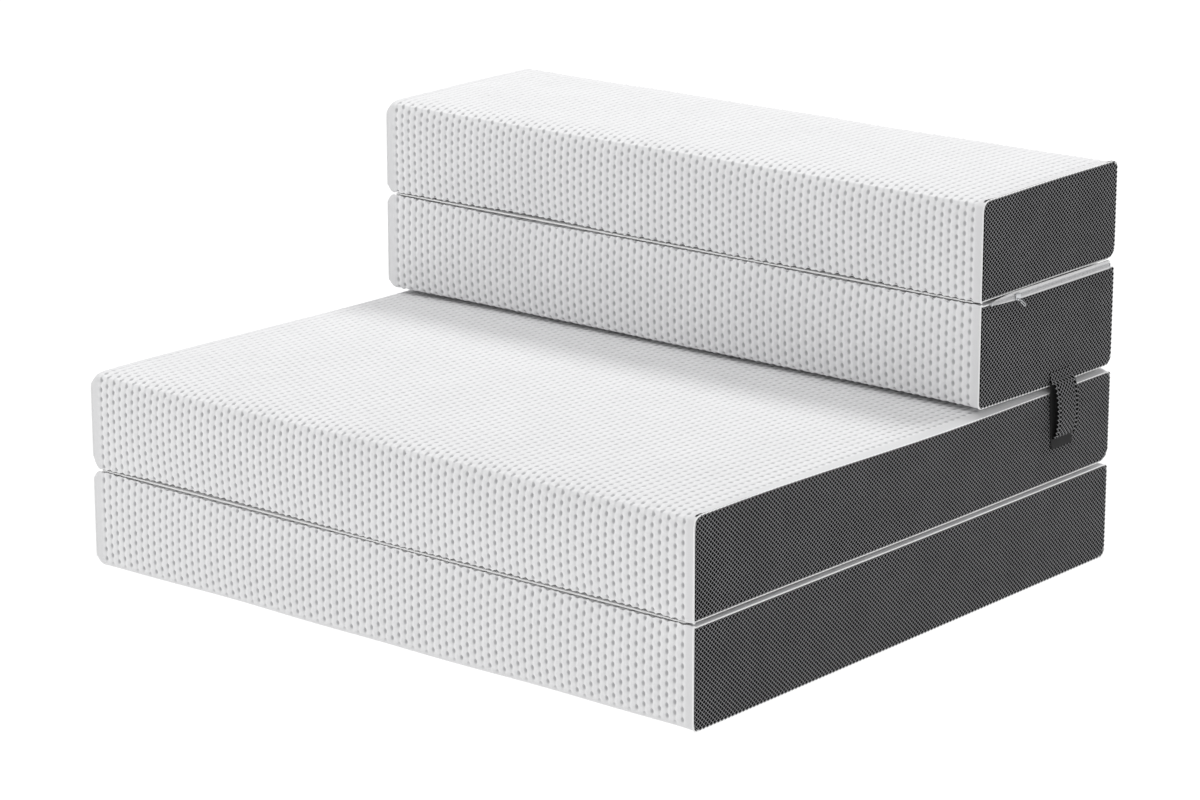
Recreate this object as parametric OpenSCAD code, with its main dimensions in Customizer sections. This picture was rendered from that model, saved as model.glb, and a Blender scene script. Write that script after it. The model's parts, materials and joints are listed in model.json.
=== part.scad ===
// Fold-out foam mattress, folded in a zigzag into a low sofa.
// X runs along the width, Y from the front to the back, Z up. Millimetres.
// Four panels lie on one another: base, seat, lower backrest and upper backrest.
// Three fabric folds join them, at the front, at the rear and at the backrest's front.
// The origin is on the floor, in the middle of the whole object's outline.

/* [Panels] */
// Overall width of every panel, across both ends
panel_w = 800; // [500:5:1400]
// Depth of the base and seat panels, front to back
deep_d = 705; // [520:5:900]
// Depth of the two backrest panels
back_d = 246; // [200:2:420]
// Height of one panel
panel_h = 105.5; // [70:0.5:160]
// Radius of the panels' front edges
front_r = 9; // [4:1:20]
// Radius of the panels' rear edges
rear_r = 16; // [6:1:24]

/* [Cover] */
// Thickness of the quilted knit sleeve
sleeve_wall = 3; // [1.5:0.5:5]
// Thickness of the spacer mesh of the end panels
mesh_t = 4; // [2:0.5:8]
// How far the mesh lies back from the welt's edge
mesh_recess = 0.8; // [0.2:0.1:2]
// Thickness of the edge welt along the width
welt_t = 1.6; // [0.8:0.2:4]
// Breadth of the edge welt around the end
welt_w = 2.2; // [1:0.2:2.8]

/* [Foam] */
// Thickness of the soft comfort layer
comfort_t = 30; // [10:2:50]
// Room left between foam and cover
foam_clear = 0.6; // [0.2:0.1:2]

/* [Folds] */
// Room between two folded panels, which the two hinge leaves fill
fold_gap = 2.5; // [2.2:0.1:5]
// How far a fold's axis stands proud of the panels' faces
fold_proud = 1.5; // [0.5:0.1:4]
// Radius of the bead that is sewn into a fold
bead_r = 1; // [0.6:0.1:1.05]
// Breadth of a hinge leaf, where it is sewn to a panel
leaf_w = 32; // [20:1:60]
// Thickness of a hinge leaf
leaf_t = 0.8; // [0.5:0.1:0.9]
// How far the folds stop short of the panels' ends
fold_inset = 12; // [4:1:60]
// Running clearance around beads and pins
pin_clear = 0.06; // [0.03:0.01:0.1]

/* [Zip] */
// Breadth of the zip tape across both halves
tape_w = 7; // [6.5:0.5:10]
// Thickness of the zip tape
tape_t = 0.6; // [0.4:0.1:1]
// How far the tape stands off the panel's end, to leave room for the slider's inner plate
tape_stand = 1.6; // [1.5:0.1:3]
// Where the zip starts, behind the backrest's front
zip_start = 14; // [8:1:30]
// How far the slider is parked behind the backrest's front
slider_at = 60; // [30:1:90]
// Length of the slider
slider_l = 9; // [7:0.5:12]
// Length of the pull tab below its pin
pull_l = 13; // [8:0.5:18]
// Breadth of the pull tab
pull_w = 3.4; // [2.8:0.1:5]

/* [Carry handle] */
// Breadth of the handle
handle_w = 38; // [20:1:60]
// Middle of the handle, behind the backrest's front
handle_at = 147; // [60:1:180]
// Length of the mesh loop
loop_l = 63; // [40:1:80]
// How far the loop bows out from its lining
loop_bow = 8; // [6:0.5:20]
// Thickness of the mesh loop
loop_t = 1.6; // [1:0.1:3]
// Length of the plain lining strip
lining_l = 74; // [60:1:95]
// Thickness of the lining strip
lining_t = 1.1; // [0.8:0.1:1.2]
// Radius of the bead that the handle swings on
handle_bead_r = 1.2; // [1:0.1:1.4]

/* [Hidden] */
$fn = 48;
// Hair's breadth, for shapes that must overlap or just clear one another
hair = 0.05;

panel_names = ["base", "seat", "back_lower", "back_upper"];
fold_names = ["front_fold", "rear_fold", "top_fold"];

// Panels, counted from the floor up: 0 base, 1 seat, 2 lower backrest, 3 upper backrest
pitch = panel_h + fold_gap;
back_y = deep_d - back_d;
function panel_z(i) = i * pitch;
function panel_y(i) = i < 2 ? 0 : back_y;
function panel_d(i) = i < 2 ? deep_d : back_d;
// The comfort layer faces the fold side on which the panels are slept on
function comfort_on_top(i) = i % 2 == 0;

// Along the width, from the panels' middle
end_x = panel_w / 2;
sleeve_x = end_x - welt_t;
mesh_face_x = end_x - mesh_recess;
mesh_back_x = mesh_face_x - mesh_t;
foam_x = mesh_back_x - foam_clear;
welt_inset = 0.4;

// Handle, from its bead's centre on the right end
handle_bead_x = end_x + 1.7;
handle_bead_z = panel_z(2) + 2;
handle_drop = 2.6;
saddle_half = handle_bead_r - 0.3;
loop_root_x = 0.2;
loop_steps = 16;
handle_reach = loop_root_x + loop_bow + loop_t;
anchor_h = 9;
anchor_front_x = 0.15 - handle_bead_r;

// The handle makes the outline wider on one side, so the panels stand half of that off centre
side_proud = handle_bead_x + handle_reach - end_x;
shift = [-side_proud / 2, -deep_d / 2, 0];

// Zip, from the middle of its tape on the right end
zip_z = panel_z(2) + panel_h - tape_w / 2 - 0.5;
tape_back_x = end_x + tape_stand;
tape_face_x = tape_back_x + tape_t;
tape_slit = 1.2;
tape_flange = 0.8;
coil_t = 1.2;
coil_row = 1.2;
stop_l = 1.6;
plate_t = 1;
plate_gap = 0.3;
inner_plate_t = 0.9;
inner_plate_half = 2.2;
slider_half = 3.3;
slider_flange = 0.7;
post_t = 0.7;
post_l = 2;
front_plate_x = tape_face_x + coil_t + plate_gap;
bar_r = 0.55;
bar_l = 5.2;
bar_x = front_plate_x + plate_t + 1.6;
bar_post = 1.1;
eye_r = 1.3;
eye_w = 2.6;
tab_t = 1;
tab_hole_r = 1;
zip_end = back_d - zip_start;

// Outline of a panel's end, front edges at x = 0, shrunk on every side by inset
module end_outline(depth, inset) {
    fr = max(front_r - inset, 0.5);
    rr = max(rear_r - inset, 0.5);
    x0 = inset;
    x1 = depth - inset;
    y0 = inset;
    y1 = panel_h - inset;
    translate([x0 + fr, y0]) square([x1 - x0 - fr - rr, y1 - y0]);
    translate([x0, y0 + fr]) square([fr + hair, y1 - y0 - 2 * fr]);
    translate([x1 - rr - hair, y0 + rr]) square([rr + hair, y1 - y0 - 2 * rr]);
    for (y = [y0 + fr, y1 - fr]) translate([x0 + fr, y]) circle(fr);
    for (y = [y0 + rr, y1 - rr]) translate([x1 - rr, y]) circle(rr);
}

// Stretch an end outline along the width, from x0 to x1
module along_width(x0, x1) {
    translate([x0, 0, 0]) rotate([90, 0, 90]) linear_extrude(x1 - x0) children();
}

module at_panel(i) {
    translate(shift + [0, panel_y(i), panel_z(i)]) children();
}

// Heights of the joint between the two foams, above the panel's underside
function foam_joint(i) = comfort_on_top(i)
    ? panel_h - sleeve_wall - foam_clear - comfort_t
    : sleeve_wall + foam_clear + comfort_t;

// Foam block between two heights of the sleeve's inside
module foam_slab(i, z0, z1) {
    at_panel(i) intersection() {
        along_width(-foam_x, foam_x) end_outline(panel_d(i), sleeve_wall + foam_clear);
        translate([-foam_x, 0, z0]) cube([2 * foam_x, panel_d(i), z1 - z0]);
    }
}

module foam_core(i) {
    color([0.93, 0.9, 0.78])
        if (comfort_on_top(i)) foam_slab(i, 0, foam_joint(i));
        else foam_slab(i, foam_joint(i), panel_h);
}

module comfort_foam(i) {
    color([0.8, 0.87, 0.93])
        if (comfort_on_top(i)) foam_slab(i, foam_joint(i) + hair, panel_h);
        else foam_slab(i, 0, foam_joint(i) - hair);
}

// Knit sleeve around the foam, open at both ends
module cover(i) {
    color([0.92, 0.92, 0.92]) at_panel(i) along_width(-sleeve_x, sleeve_x) difference() {
        end_outline(panel_d(i), 0);
        end_outline(panel_d(i), sleeve_wall);
    }
}

// Spacer mesh that closes one end of the sleeve; side is 1 on the right and -1 on the left
module mesh_end(i, side) {
    color([0.2, 0.2, 0.21]) at_panel(i)
        along_width(side > 0 ? mesh_back_x : -mesh_face_x, side > 0 ? mesh_face_x : -mesh_back_x)
            end_outline(panel_d(i), sleeve_wall + hair);
}

// Welt around one end of the sleeve
module welt(i, side) {
    color([0.96, 0.96, 0.96]) at_panel(i)
        along_width(side > 0 ? sleeve_x : -end_x, side > 0 ? end_x : -sleeve_x) difference() {
            end_outline(panel_d(i), welt_inset);
            end_outline(panel_d(i), welt_inset + welt_w);
        }
}

// Folds: the axis lies in the middle of the gap, proud of the faces that meet there.
// inward is 1 where the panels lie behind the axis and -1 where they lie before it.
function fold_y(k) = [-fold_proud, deep_d + fold_proud, back_y - fold_proud][k];
function fold_z(k) = panel_z(k + 1) - fold_gap / 2;
function fold_inward(k) = k == 1 ? -1 : 1;
fold_half = panel_w / 2 - fold_inset;

// Everything below is drawn with the panels behind the axis, then mirrored where they aren't
module at_fold(k) {
    translate(shift + [0, fold_y(k), fold_z(k)])
        mirror([0, fold_inward(k) < 0 ? 1 : 0, 0]) children();
}

// Leaf sewn to the lower panel, with the bead on the fold's axis
module lower_leaf(k) {
    color([0.9, 0.9, 0.9]) at_fold(k) {
        translate([-fold_half, hair, -fold_gap / 2]) cube([2 * fold_half, leaf_w, leaf_t]);
        translate([-fold_half, 0, 0]) rotate([0, 90, 0]) cylinder(r = bead_r, h = 2 * fold_half);
    }
}

// Leaf sewn to the upper panel, hollowed where it turns over the bead
module upper_leaf(k) {
    color([0.9, 0.9, 0.9]) at_fold(k) difference() {
        translate([-fold_half, hair, fold_gap / 2 - leaf_t]) cube([2 * fold_half, leaf_w, leaf_t]);
        translate([-fold_half - 1, 0, 0]) rotate([0, 90, 0])
            cylinder(r = bead_r + pin_clear, h = 2 * fold_half + 2);
    }
}

module at_zip() {
    translate(shift + [0, back_y, zip_z]) children();
}

// Two tapes with a slit between them, turned back at their outer edges: the upper one
// to the welt, the lower one to the mesh
module zip_tape() {
    zip_len = zip_end - zip_start;
    color([0.95, 0.95, 0.95]) at_zip() for (side = [-1, 1]) {
        z_in = side * tape_slit / 2;
        z_out = side * tape_w / 2;
        translate([tape_back_x, zip_start, min(z_in, z_out)])
            cube([tape_t, zip_len, (tape_w - tape_slit) / 2]);
        foot_x = side > 0 ? end_x : mesh_face_x;
        translate([foot_x, zip_start, side > 0 ? z_out - tape_flange : z_out])
            cube([tape_back_x - foot_x + hair, zip_len, tape_flange]);
    }
}

// Two rows of coil, one on each tape, between the stops
module zip_coil() {
    coil_len = zip_end - zip_start - 2 * stop_l - 2 * hair;
    color([0.9, 0.9, 0.9]) at_zip() for (side = [-1, 1])
        translate([tape_face_x, zip_start + stop_l + hair,
                   side * (tape_slit + coil_row) / 2 - coil_row / 2])
            cube([coil_t, coil_len, coil_row]);
}

// Metal stops across both tapes at the ends of the coil
module zip_stops() {
    color([0.75, 0.76, 0.78]) at_zip() for (y = [zip_start, zip_end - stop_l])
        translate([tape_face_x, y, -tape_w / 4]) cube([coil_t + 0.2, stop_l, tape_w / 2]);
}

// Slider: two plates joined by a post that runs in the slit, with a bar for the pull
module zip_slider() {
    post_y = -slider_l / 2;
    color([0.78, 0.79, 0.81]) at_zip() translate([0, slider_at, 0]) {
        translate([front_plate_x, -slider_l / 2, -slider_half])
            cube([plate_t, slider_l, 2 * slider_half]);
        for (side = [-1, 1])
            translate([tape_face_x + plate_gap, -slider_l / 2,
                       side > 0 ? slider_half - slider_flange : -slider_half])
                cube([coil_t + hair, slider_l, slider_flange]);
        translate([tape_back_x - plate_gap - inner_plate_t, post_y, -post_t / 2])
            cube([front_plate_x + hair - tape_back_x + plate_gap + inner_plate_t, post_l, post_t]);
        translate([tape_back_x - plate_gap - inner_plate_t, -slider_l / 2, -inner_plate_half])
            cube([inner_plate_t, slider_l, 2 * inner_plate_half]);
        for (y = [-bar_l / 2, bar_l / 2 - bar_post])
            translate([front_plate_x + plate_t - hair, y, -bar_post / 2])
                cube([bar_x - front_plate_x - plate_t + hair, bar_post, bar_post]);
        translate([bar_x, bar_l / 2, 0]) rotate([90, 0, 0]) cylinder(r = bar_r, h = bar_l);
    }
}

// Pull tab, hanging from the slider's bar by its eye
module zip_pull() {
    color([0.8, 0.81, 0.83]) at_zip() translate([bar_x, slider_at, 0]) difference() {
        union() {
            translate([0, eye_w / 2, 0]) rotate([90, 0, 0]) cylinder(r = eye_r, h = eye_w);
            translate([-tab_t / 2, -eye_w / 2, -pull_l / 2]) cube([tab_t, eye_w, pull_l / 2]);
            translate([-tab_t / 2, -pull_w / 2, -pull_l + pull_w / 2])
                cube([tab_t, pull_w, pull_l / 2]);
            translate([-tab_t / 2, 0, -pull_l + pull_w / 2]) rotate([0, 90, 0])
                cylinder(r = pull_w / 2, h = tab_t);
        }
        translate([0, eye_w / 2 + 1, 0]) rotate([90, 0, 0])
            cylinder(r = bar_r + pin_clear, h = eye_w + 2);
        translate([-tab_t, 0, -pull_l + pull_w / 2]) rotate([0, 90, 0])
            cylinder(r = tab_hole_r, h = 2 * tab_t);
    }
}

module at_handle() {
    translate(shift + [handle_bead_x, back_y + handle_at, handle_bead_z]) children();
}

// Strip sewn to the lower edge of the backrest's mesh, with the bead that the handle hangs on
module handle_anchor() {
    over_welt_x = end_x - handle_bead_x;
    on_mesh_x = mesh_face_x - handle_bead_x;
    on_mesh_z = panel_z(2) + welt_inset + welt_w + hair - handle_bead_z;
    color([0.16, 0.16, 0.17]) at_handle() {
        translate([over_welt_x, -handle_w / 2, -handle_bead_r])
            cube([anchor_front_x - over_welt_x, handle_w, anchor_h]);
        translate([on_mesh_x, -handle_w / 2, on_mesh_z])
            cube([anchor_front_x - on_mesh_x, handle_w, anchor_h - handle_bead_r - on_mesh_z]);
        translate([0, handle_w / 2, 0]) rotate([90, 0, 0])
            cylinder(r = handle_bead_r, h = handle_w);
    }
}

// How far the loop's inner face stands out at t, from 0 at its top to 1 at its bottom
function loop_x(t) = loop_root_x + loop_bow * pow(sin(180 * t), 0.9);
function loop_z(t) = -handle_drop - t * (loop_l - handle_drop);

// Mesh loop: hangs from a saddle under the bead, bows out and meets the lining at its bottom
module handle_loop() {
    inner = [for (n = [0 : loop_steps]) [loop_x(n / loop_steps), loop_z(n / loop_steps)]];
    outer = [for (n = [loop_steps : -1 : 0])
             [loop_x(n / loop_steps) + loop_t, loop_z(n / loop_steps)]];
    color([0.19, 0.19, 0.2]) at_handle() difference() {
        union() {
            translate([0, handle_w / 2, 0]) rotate([90, 0, 0])
                linear_extrude(handle_w) polygon(concat(inner, outer));
            translate([-saddle_half, -handle_w / 2, -handle_drop - hair])
                cube([2 * saddle_half + loop_root_x, handle_w, handle_drop + hair - saddle_half]);
        }
        translate([0, handle_w / 2 + 1, 0]) rotate([90, 0, 0])
            cylinder(r = handle_bead_r + pin_clear, h = handle_w + 2);
    }
}

// Plain strip behind the loop, a little longer than it
module handle_lining() {
    color([0.23, 0.23, 0.24]) at_handle()
        translate([loop_root_x - lining_t, -handle_w / 2, -lining_l])
            cube([lining_t, handle_w, lining_l - handle_drop - hair]);
}

for (i = [0 : 3]) {
    foam_core(i);
    comfort_foam(i);
    cover(i);
    mesh_end(i, 1);
    mesh_end(i, -1);
    welt(i, 1);
    welt(i, -1);
}
for (k = [0 : 2]) {
    lower_leaf(k);
    upper_leaf(k);
}
zip_tape();
zip_coil();
zip_stops();
zip_slider();
zip_pull();
handle_anchor();
handle_loop();
handle_lining();
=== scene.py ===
import json
import math

import bmesh
import bpy
import numpy as np
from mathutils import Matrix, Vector

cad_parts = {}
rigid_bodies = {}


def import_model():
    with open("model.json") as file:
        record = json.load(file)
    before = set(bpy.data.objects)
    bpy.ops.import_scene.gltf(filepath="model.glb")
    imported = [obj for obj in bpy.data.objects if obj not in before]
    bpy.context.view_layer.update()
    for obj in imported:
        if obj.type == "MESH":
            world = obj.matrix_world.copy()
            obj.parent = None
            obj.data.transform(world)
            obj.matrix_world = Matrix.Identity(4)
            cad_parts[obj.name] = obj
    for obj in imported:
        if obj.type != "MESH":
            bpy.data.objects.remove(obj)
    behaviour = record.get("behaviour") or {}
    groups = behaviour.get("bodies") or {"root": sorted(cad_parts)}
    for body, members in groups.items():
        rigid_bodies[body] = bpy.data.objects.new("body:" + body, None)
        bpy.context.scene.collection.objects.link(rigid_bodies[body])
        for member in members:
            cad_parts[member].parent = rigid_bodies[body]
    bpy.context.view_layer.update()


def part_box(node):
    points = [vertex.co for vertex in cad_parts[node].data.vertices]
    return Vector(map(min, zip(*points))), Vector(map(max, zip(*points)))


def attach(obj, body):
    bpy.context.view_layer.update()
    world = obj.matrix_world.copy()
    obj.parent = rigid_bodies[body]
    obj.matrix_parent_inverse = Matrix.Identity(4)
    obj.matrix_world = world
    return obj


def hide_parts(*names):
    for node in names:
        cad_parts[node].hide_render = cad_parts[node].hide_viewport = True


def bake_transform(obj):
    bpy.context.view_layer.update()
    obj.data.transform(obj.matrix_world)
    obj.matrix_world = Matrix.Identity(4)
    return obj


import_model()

mm = 0.001
scene = bpy.context.scene


def letGo():
    # operators act on everything selected, and the frame arrives selected
    if bpy.context.mode != "OBJECT":
        bpy.ops.object.mode_set(mode="OBJECT")
    bpy.ops.object.select_all(action="DESELECT")


def takeUp(piece):
    letGo()
    piece.select_set(True)
    bpy.context.view_layer.objects.active = piece


def bakePlace(piece):
    # object at the origin, its place in its mesh
    takeUp(piece)
    bpy.ops.object.transform_apply(location=True, rotation=True, scale=True)


def named(piece, name):
    piece.name = name
    piece.data.name = name
    return piece


def pick(piece, kind, test):
    # edit mode, with the corners, edges or faces that pass the test picked
    takeUp(piece)
    bpy.ops.object.mode_set(mode="EDIT")
    bpy.ops.mesh.select_mode(type=kind)
    bpy.ops.mesh.select_all(action="DESELECT")
    cage = bmesh.from_edit_mesh(piece.data)
    for part in {"VERT": cage.verts, "EDGE": cage.edges, "FACE": cage.faces}[kind]:
        if test(part):
            part.select_set(True)
    bmesh.update_edit_mesh(piece.data)


def addBlock(name, low, high):
    letGo()
    centre = [(a + b) / 2 for a, b in zip(low, high)]
    size = [b - a for a, b in zip(low, high)]
    bpy.ops.mesh.primitive_cube_add(size=1, location=centre, scale=size)
    block = named(bpy.context.object, name)
    bakePlace(block)
    return block


def addGrid(name, columns, rows, size, place=(0, 0, 0), turn=(0, 0, 0)):
    letGo()
    bpy.ops.mesh.primitive_grid_add(x_subdivisions=columns, y_subdivisions=rows, size=1,
                                    location=place, rotation=turn)
    grid = named(bpy.context.object, name)
    grid.scale = (size[0], size[1], 1)
    bakePlace(grid)
    return grid


def useModifier(piece, kind, **settings):
    takeUp(piece)
    modifier = piece.modifiers.new(kind.title(), kind)
    for key, value in settings.items():
        setattr(modifier, key, value)
    bpy.ops.object.modifier_apply(modifier=modifier.name)


def places(piece):
    flat = np.empty(len(piece.data.vertices) * 3)
    piece.data.vertices.foreach_get("co", flat)
    return flat.reshape(-1, 3)


def moveTo(piece, points):
    piece.data.vertices.foreach_set("co", np.asarray(points, float).ravel())
    piece.data.update()


def loopCorners(piece):
    # the vertex that each face's corner stands on
    loops = np.empty(len(piece.data.loops), int)
    piece.data.loops.foreach_get("vertex_index", loops)
    return loops


def span(edge, axis):
    # how far an edge runs along an axis
    return abs(edge.verts[0].co[axis] - edge.verts[1].co[axis])


def outwards(piece):
    flat = np.empty(len(piece.data.vertices) * 3)
    piece.data.vertex_normals.foreach_get("vector", flat)
    return flat.reshape(-1, 3)


def smoothStep(t):
    t = np.clip(t, 0, 1)
    return t * t * (3 - 2 * t)


def finishPiece(piece, material, body, nodes, angle=40):
    bakePlace(piece)
    piece.data.materials.clear()
    piece.data.materials.append(material)
    bpy.ops.object.shade_smooth_by_angle(angle=math.radians(angle))
    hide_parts(*nodes)
    if body:
        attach(piece, body)


def colour(hexCode):
    # sRGB hex to linear
    parts = [int(hexCode[i:i + 2], 16) / 255 for i in (1, 3, 5)]
    return [p / 12.92 if p <= 0.04045 else ((p + 0.055) / 1.055) ** 2.4 for p in parts] + [1]


def addNode(tree, kind, settings=None, **inputs):
    # an input is a value or another node's output; a name like in0 means the first socket
    node = tree.nodes.new("ShaderNode" + kind)
    for key, value in (settings or {}).items():
        if key == "stops":
            ramp = node.color_ramp.elements
            while len(ramp) < len(value):
                ramp.new(0.5)
            for stop, (at, shade) in zip(ramp, value):
                stop.position = at
                stop.color = shade
        else:
            setattr(node, key, value)
    for key, value in inputs.items():
        byNumber = key[:2] == "in" and key[2:].isdigit()
        socket = node.inputs[int(key[2:]) if byNumber else key.replace("_", " ")]
        if isinstance(value, bpy.types.NodeSocket):
            tree.links.new(value, socket)
        else:
            socket.default_value = value
    return node.outputs


def newMaterial(name):
    material = bpy.data.materials.new(name)
    material.use_nodes = True
    tree = material.node_tree
    return material, tree, tree.nodes["Principled BSDF"]


# Polyester and viscose jacquard, knitted double on a circular machine, so the blisters
# between the stitched pits are soft and matt white; the grey in each pit is painted shade.
# Lengths in mm; the furrow and hem tints are painted shade, and also say how far the white goes over to them
knitCut = {
    "column": 9.03, "row": 10.3, "pitLong": 2.0, "pitAcross": 1.5, "pitFade": 3.0, "stitch": 2.193,
    "low": "#e8e8e9", "high": "#f1f1f2", "pit": "#b4b4b6",
    "furrowShade": ("#d6d6d7", 0.55), "hem": ("#dadadb", 0.75),
}


def jacquardKnit():
    material, tree, skin = newMaterial("jacquard double knit, polyester viscose")
    add = lambda *a, **k: addNode(tree, *a, **k)
    place = add("UVMap", {"uv_map": "knit"})["UV"]
    parts = add("SeparateXYZ", Vector=place)
    across, along = parts["X"], parts["Y"]
    column = add("Math", {"operation": "FLOOR"}, in0=across)["Value"]
    odd = add("Math", {"operation": "MODULO"}, in0=column, in1=2.0)["Value"]
    shifted = add("Math", {"operation": "MULTIPLY_ADD"}, in0=odd, in1=0.5, in2=along)["Value"]
    shifted = add("Math", {"operation": "ADD"}, in0=shifted, in1=0.5)["Value"]
    # how far from the pit's middle, counted in pits and squared
    squares = []
    for count, pitch, size in ((across, "column", "pitAcross"), (shifted, "row", "pitLong")):
        step = knitCut[pitch] / knitCut[size]
        part = add("Math", {"operation": "FRACT"}, in0=count)["Value"]
        part = add("Math", {"operation": "MULTIPLY_ADD"}, in0=part, in1=step, in2=-0.5 * step)["Value"]
        part = add("Math", {"operation": "ABSOLUTE"}, in0=part)["Value"]
        squares.append(add("Math", {"operation": "POWER"}, in0=part, in1=2.0)["Value"])
    far = add("Math", {"operation": "ADD"}, in0=squares[0], in1=squares[1])["Value"]
    # painted shade: the middle of each pit is tinted grey, fading out towards the blisters
    pit = add("MapRange", {"interpolation_type": "SMOOTHSTEP"}, Value=far, From_Min=0.0,
              From_Max=knitCut["pitFade"], To_Min=1.0, To_Max=0.0)["Result"]
    keep = add("UVMap", {"uv_map": "keep"})["UV"]
    strength = add("SeparateXYZ", Vector=keep)["X"]
    pit = add("Math", {"operation": "MULTIPLY"}, in0=pit, in1=strength)["Value"]
    # painted shade: the valleys down the columns are tinted grey
    furrowShade = add("Math", {"operation": "MULTIPLY"}, in0=across, in1=2 * math.pi)["Value"]
    furrowShade = add("Math", {"operation": "COSINE"}, in0=furrowShade)["Value"]
    furrowShade = add("MapRange", Value=furrowShade, From_Min=-0.1, From_Max=-1.0, To_Min=0.0,
                 To_Max=knitCut["furrowShade"][1])["Result"]
    furrowShade = add("Math", {"operation": "MULTIPLY"}, in0=furrowShade, in1=strength)["Value"]
    # the plain hem at the ends has no filler behind it; its grey tint is painted shade where the cover rounds
    # over
    hem = add("MapRange", Value=strength, From_Min=0.0, From_Max=1.0, To_Min=knitCut["hem"][1],
              To_Max=0.0)["Result"]
    tint = colour(knitCut["low"])
    patchy = add("TexNoise", in0=add("TexCoord")["Object"], Scale=14.0, Detail=3.0)["Fac"]
    # painted shade: the valleys, the plain hem and the pits are tinted grey over the white
    layers = (
        (patchy, knitCut["high"]),
        (furrowShade, knitCut["furrowShade"][0]),
        (hem, knitCut["hem"][0]),
        (pit, knitCut["pit"]),
    )
    for share, shade in layers:
        tint = add("MixRGB", {"blend_type": "MIX"}, Fac=share, Color1=tint, Color2=colour(shade))["Color"]
    tree.links.new(tint, skin.inputs["Base Color"])
    # bands 2.2 mm wide stand for the stitches, coarser than the real 0.7 mm so that they show;
    # the wave texture has 20 radians to the unit
    bands = {"wave_type": "BANDS", "bands_direction": "X"}
    stitches = add("TexWave", bands, Vector=add("TexCoord")["Object"], Distortion=0.6, Detail=1.0,
                   Scale=2 * math.pi / (knitCut["stitch"] * mm) / 20)["Fac"]
    fuzz = add("TexNoise", in0=add("TexCoord")["Object"], Scale=900.0, Detail=2.0)["Fac"]
    relief = add("Math", {"operation": "MULTIPLY_ADD"}, in0=stitches, in1=0.5, in2=fuzz)["Value"]
    bump = add("Bump", Strength=0.35, Distance=0.25 * mm, Height=relief)["Normal"]
    tree.links.new(bump, skin.inputs["Normal"])
    skin.inputs["Roughness"].default_value = 0.88
    skin.inputs["Sheen Weight"].default_value = 0.25
    skin.inputs["Sheen Roughness"].default_value = 0.5
    skin.inputs["Specular IOR Level"].default_value = 0.3
    return material


# Polyester spacer fabric, warp-knitted in three layers, so light grey threads cross over
# deep open cells, black diamonds of painted shade; tones run from a thread's middle to the hollow
meshTones = {0.0: "#a4a4a6", 0.025: "#98989a", 0.075: "#1a1a1b", 0.13: "#010101"}


def spacerMesh():
    material, tree, skin = newMaterial("polyester spacer mesh, warp knitted")
    add = lambda *a, **k: addNode(tree, *a, **k)
    parts = add("SeparateXYZ", Vector=add("UVMap", {"uv_map": "weave"})["UV"])
    wobble = add("TexNoise", in0=add("TexCoord")["Object"], Scale=25.0, Detail=2.0)["Fac"]
    # the map counts cells; threads run on both slants, half a cell away from the holes
    slants = []
    for operation in ("ADD", "SUBTRACT"):
        slant = add("Math", {"operation": operation}, in0=parts["X"], in1=parts["Y"])["Value"]
        slant = add("Math", {"operation": "MULTIPLY"}, in0=slant, in1=2 * math.pi)["Value"]
        slants.append(add("Math", {"operation": "COSINE"}, in0=slant)["Value"])
    cell = add("Math", {"operation": "MINIMUM"}, in0=slants[0], in1=slants[1])["Value"]
    cell = add("MapRange", Value=cell, From_Min=-1.0, From_Max=1.0)["Result"]
    # painted shade: the tones go to black in the open cells
    stops = [(at, colour(shade)) for at, shade in meshTones.items()]
    ramp = add("ValToRGB", {"stops": stops}, Fac=cell)["Color"]
    tone = add("MapRange", Value=wobble, From_Min=0.3, From_Max=0.7, To_Min=0.93, To_Max=1.05)["Result"]
    tone = add("CombineXYZ", in0=tone, in1=tone, in2=tone)["Vector"]
    shade = add("MixRGB", {"blend_type": "MULTIPLY"}, Fac=1.0, Color1=ramp, Color2=tone)["Color"]
    tree.links.new(shade, skin.inputs["Base Color"])
    bump = add("Bump", {"invert": True}, Strength=0.6, Distance=0.5 * mm, Height=cell)["Normal"]
    tree.links.new(bump, skin.inputs["Normal"])
    skin.inputs["Roughness"].default_value = 0.8
    skin.inputs["Specular IOR Level"].default_value = 0.05
    return material


def plainCloth(name, base, dark, threads, rough=0.85, sheen=0.2, depth=0.12):
    # a plain weave: two sets of threads, the pitch of each given in mm
    material, tree, skin = newMaterial(name)
    add = lambda *a, **k: addNode(tree, *a, **k)
    spot = add("TexCoord")["Object"]
    scale = 2 * math.pi / (threads * mm) / 20
    sets = []
    for direction in ("Y", "Z"):
        bands = {"wave_type": "BANDS", "bands_direction": direction}
        sets.append(add("TexWave", bands, Vector=spot, Scale=scale, Distortion=0.4)["Fac"])
    cross = add("Math", {"operation": "MULTIPLY"}, in0=sets[0], in1=sets[1])["Value"]
    fuzz = add("TexNoise", in0=spot, Scale=400.0, Detail=3.0)["Fac"]
    mixed = add("Math", {"operation": "MULTIPLY_ADD"}, in0=fuzz, in1=0.5, in2=cross)["Value"]
    tint = add("MixRGB", {"blend_type": "MIX"}, Fac=mixed, Color1=colour(dark), Color2=colour(base))["Color"]
    tree.links.new(tint, skin.inputs["Base Color"])
    bump = add("Bump", Strength=0.5, Distance=depth * mm, Height=mixed)["Normal"]
    tree.links.new(bump, skin.inputs["Normal"])
    skin.inputs["Roughness"].default_value = rough
    skin.inputs["Sheen Weight"].default_value = sheen
    return material


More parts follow.
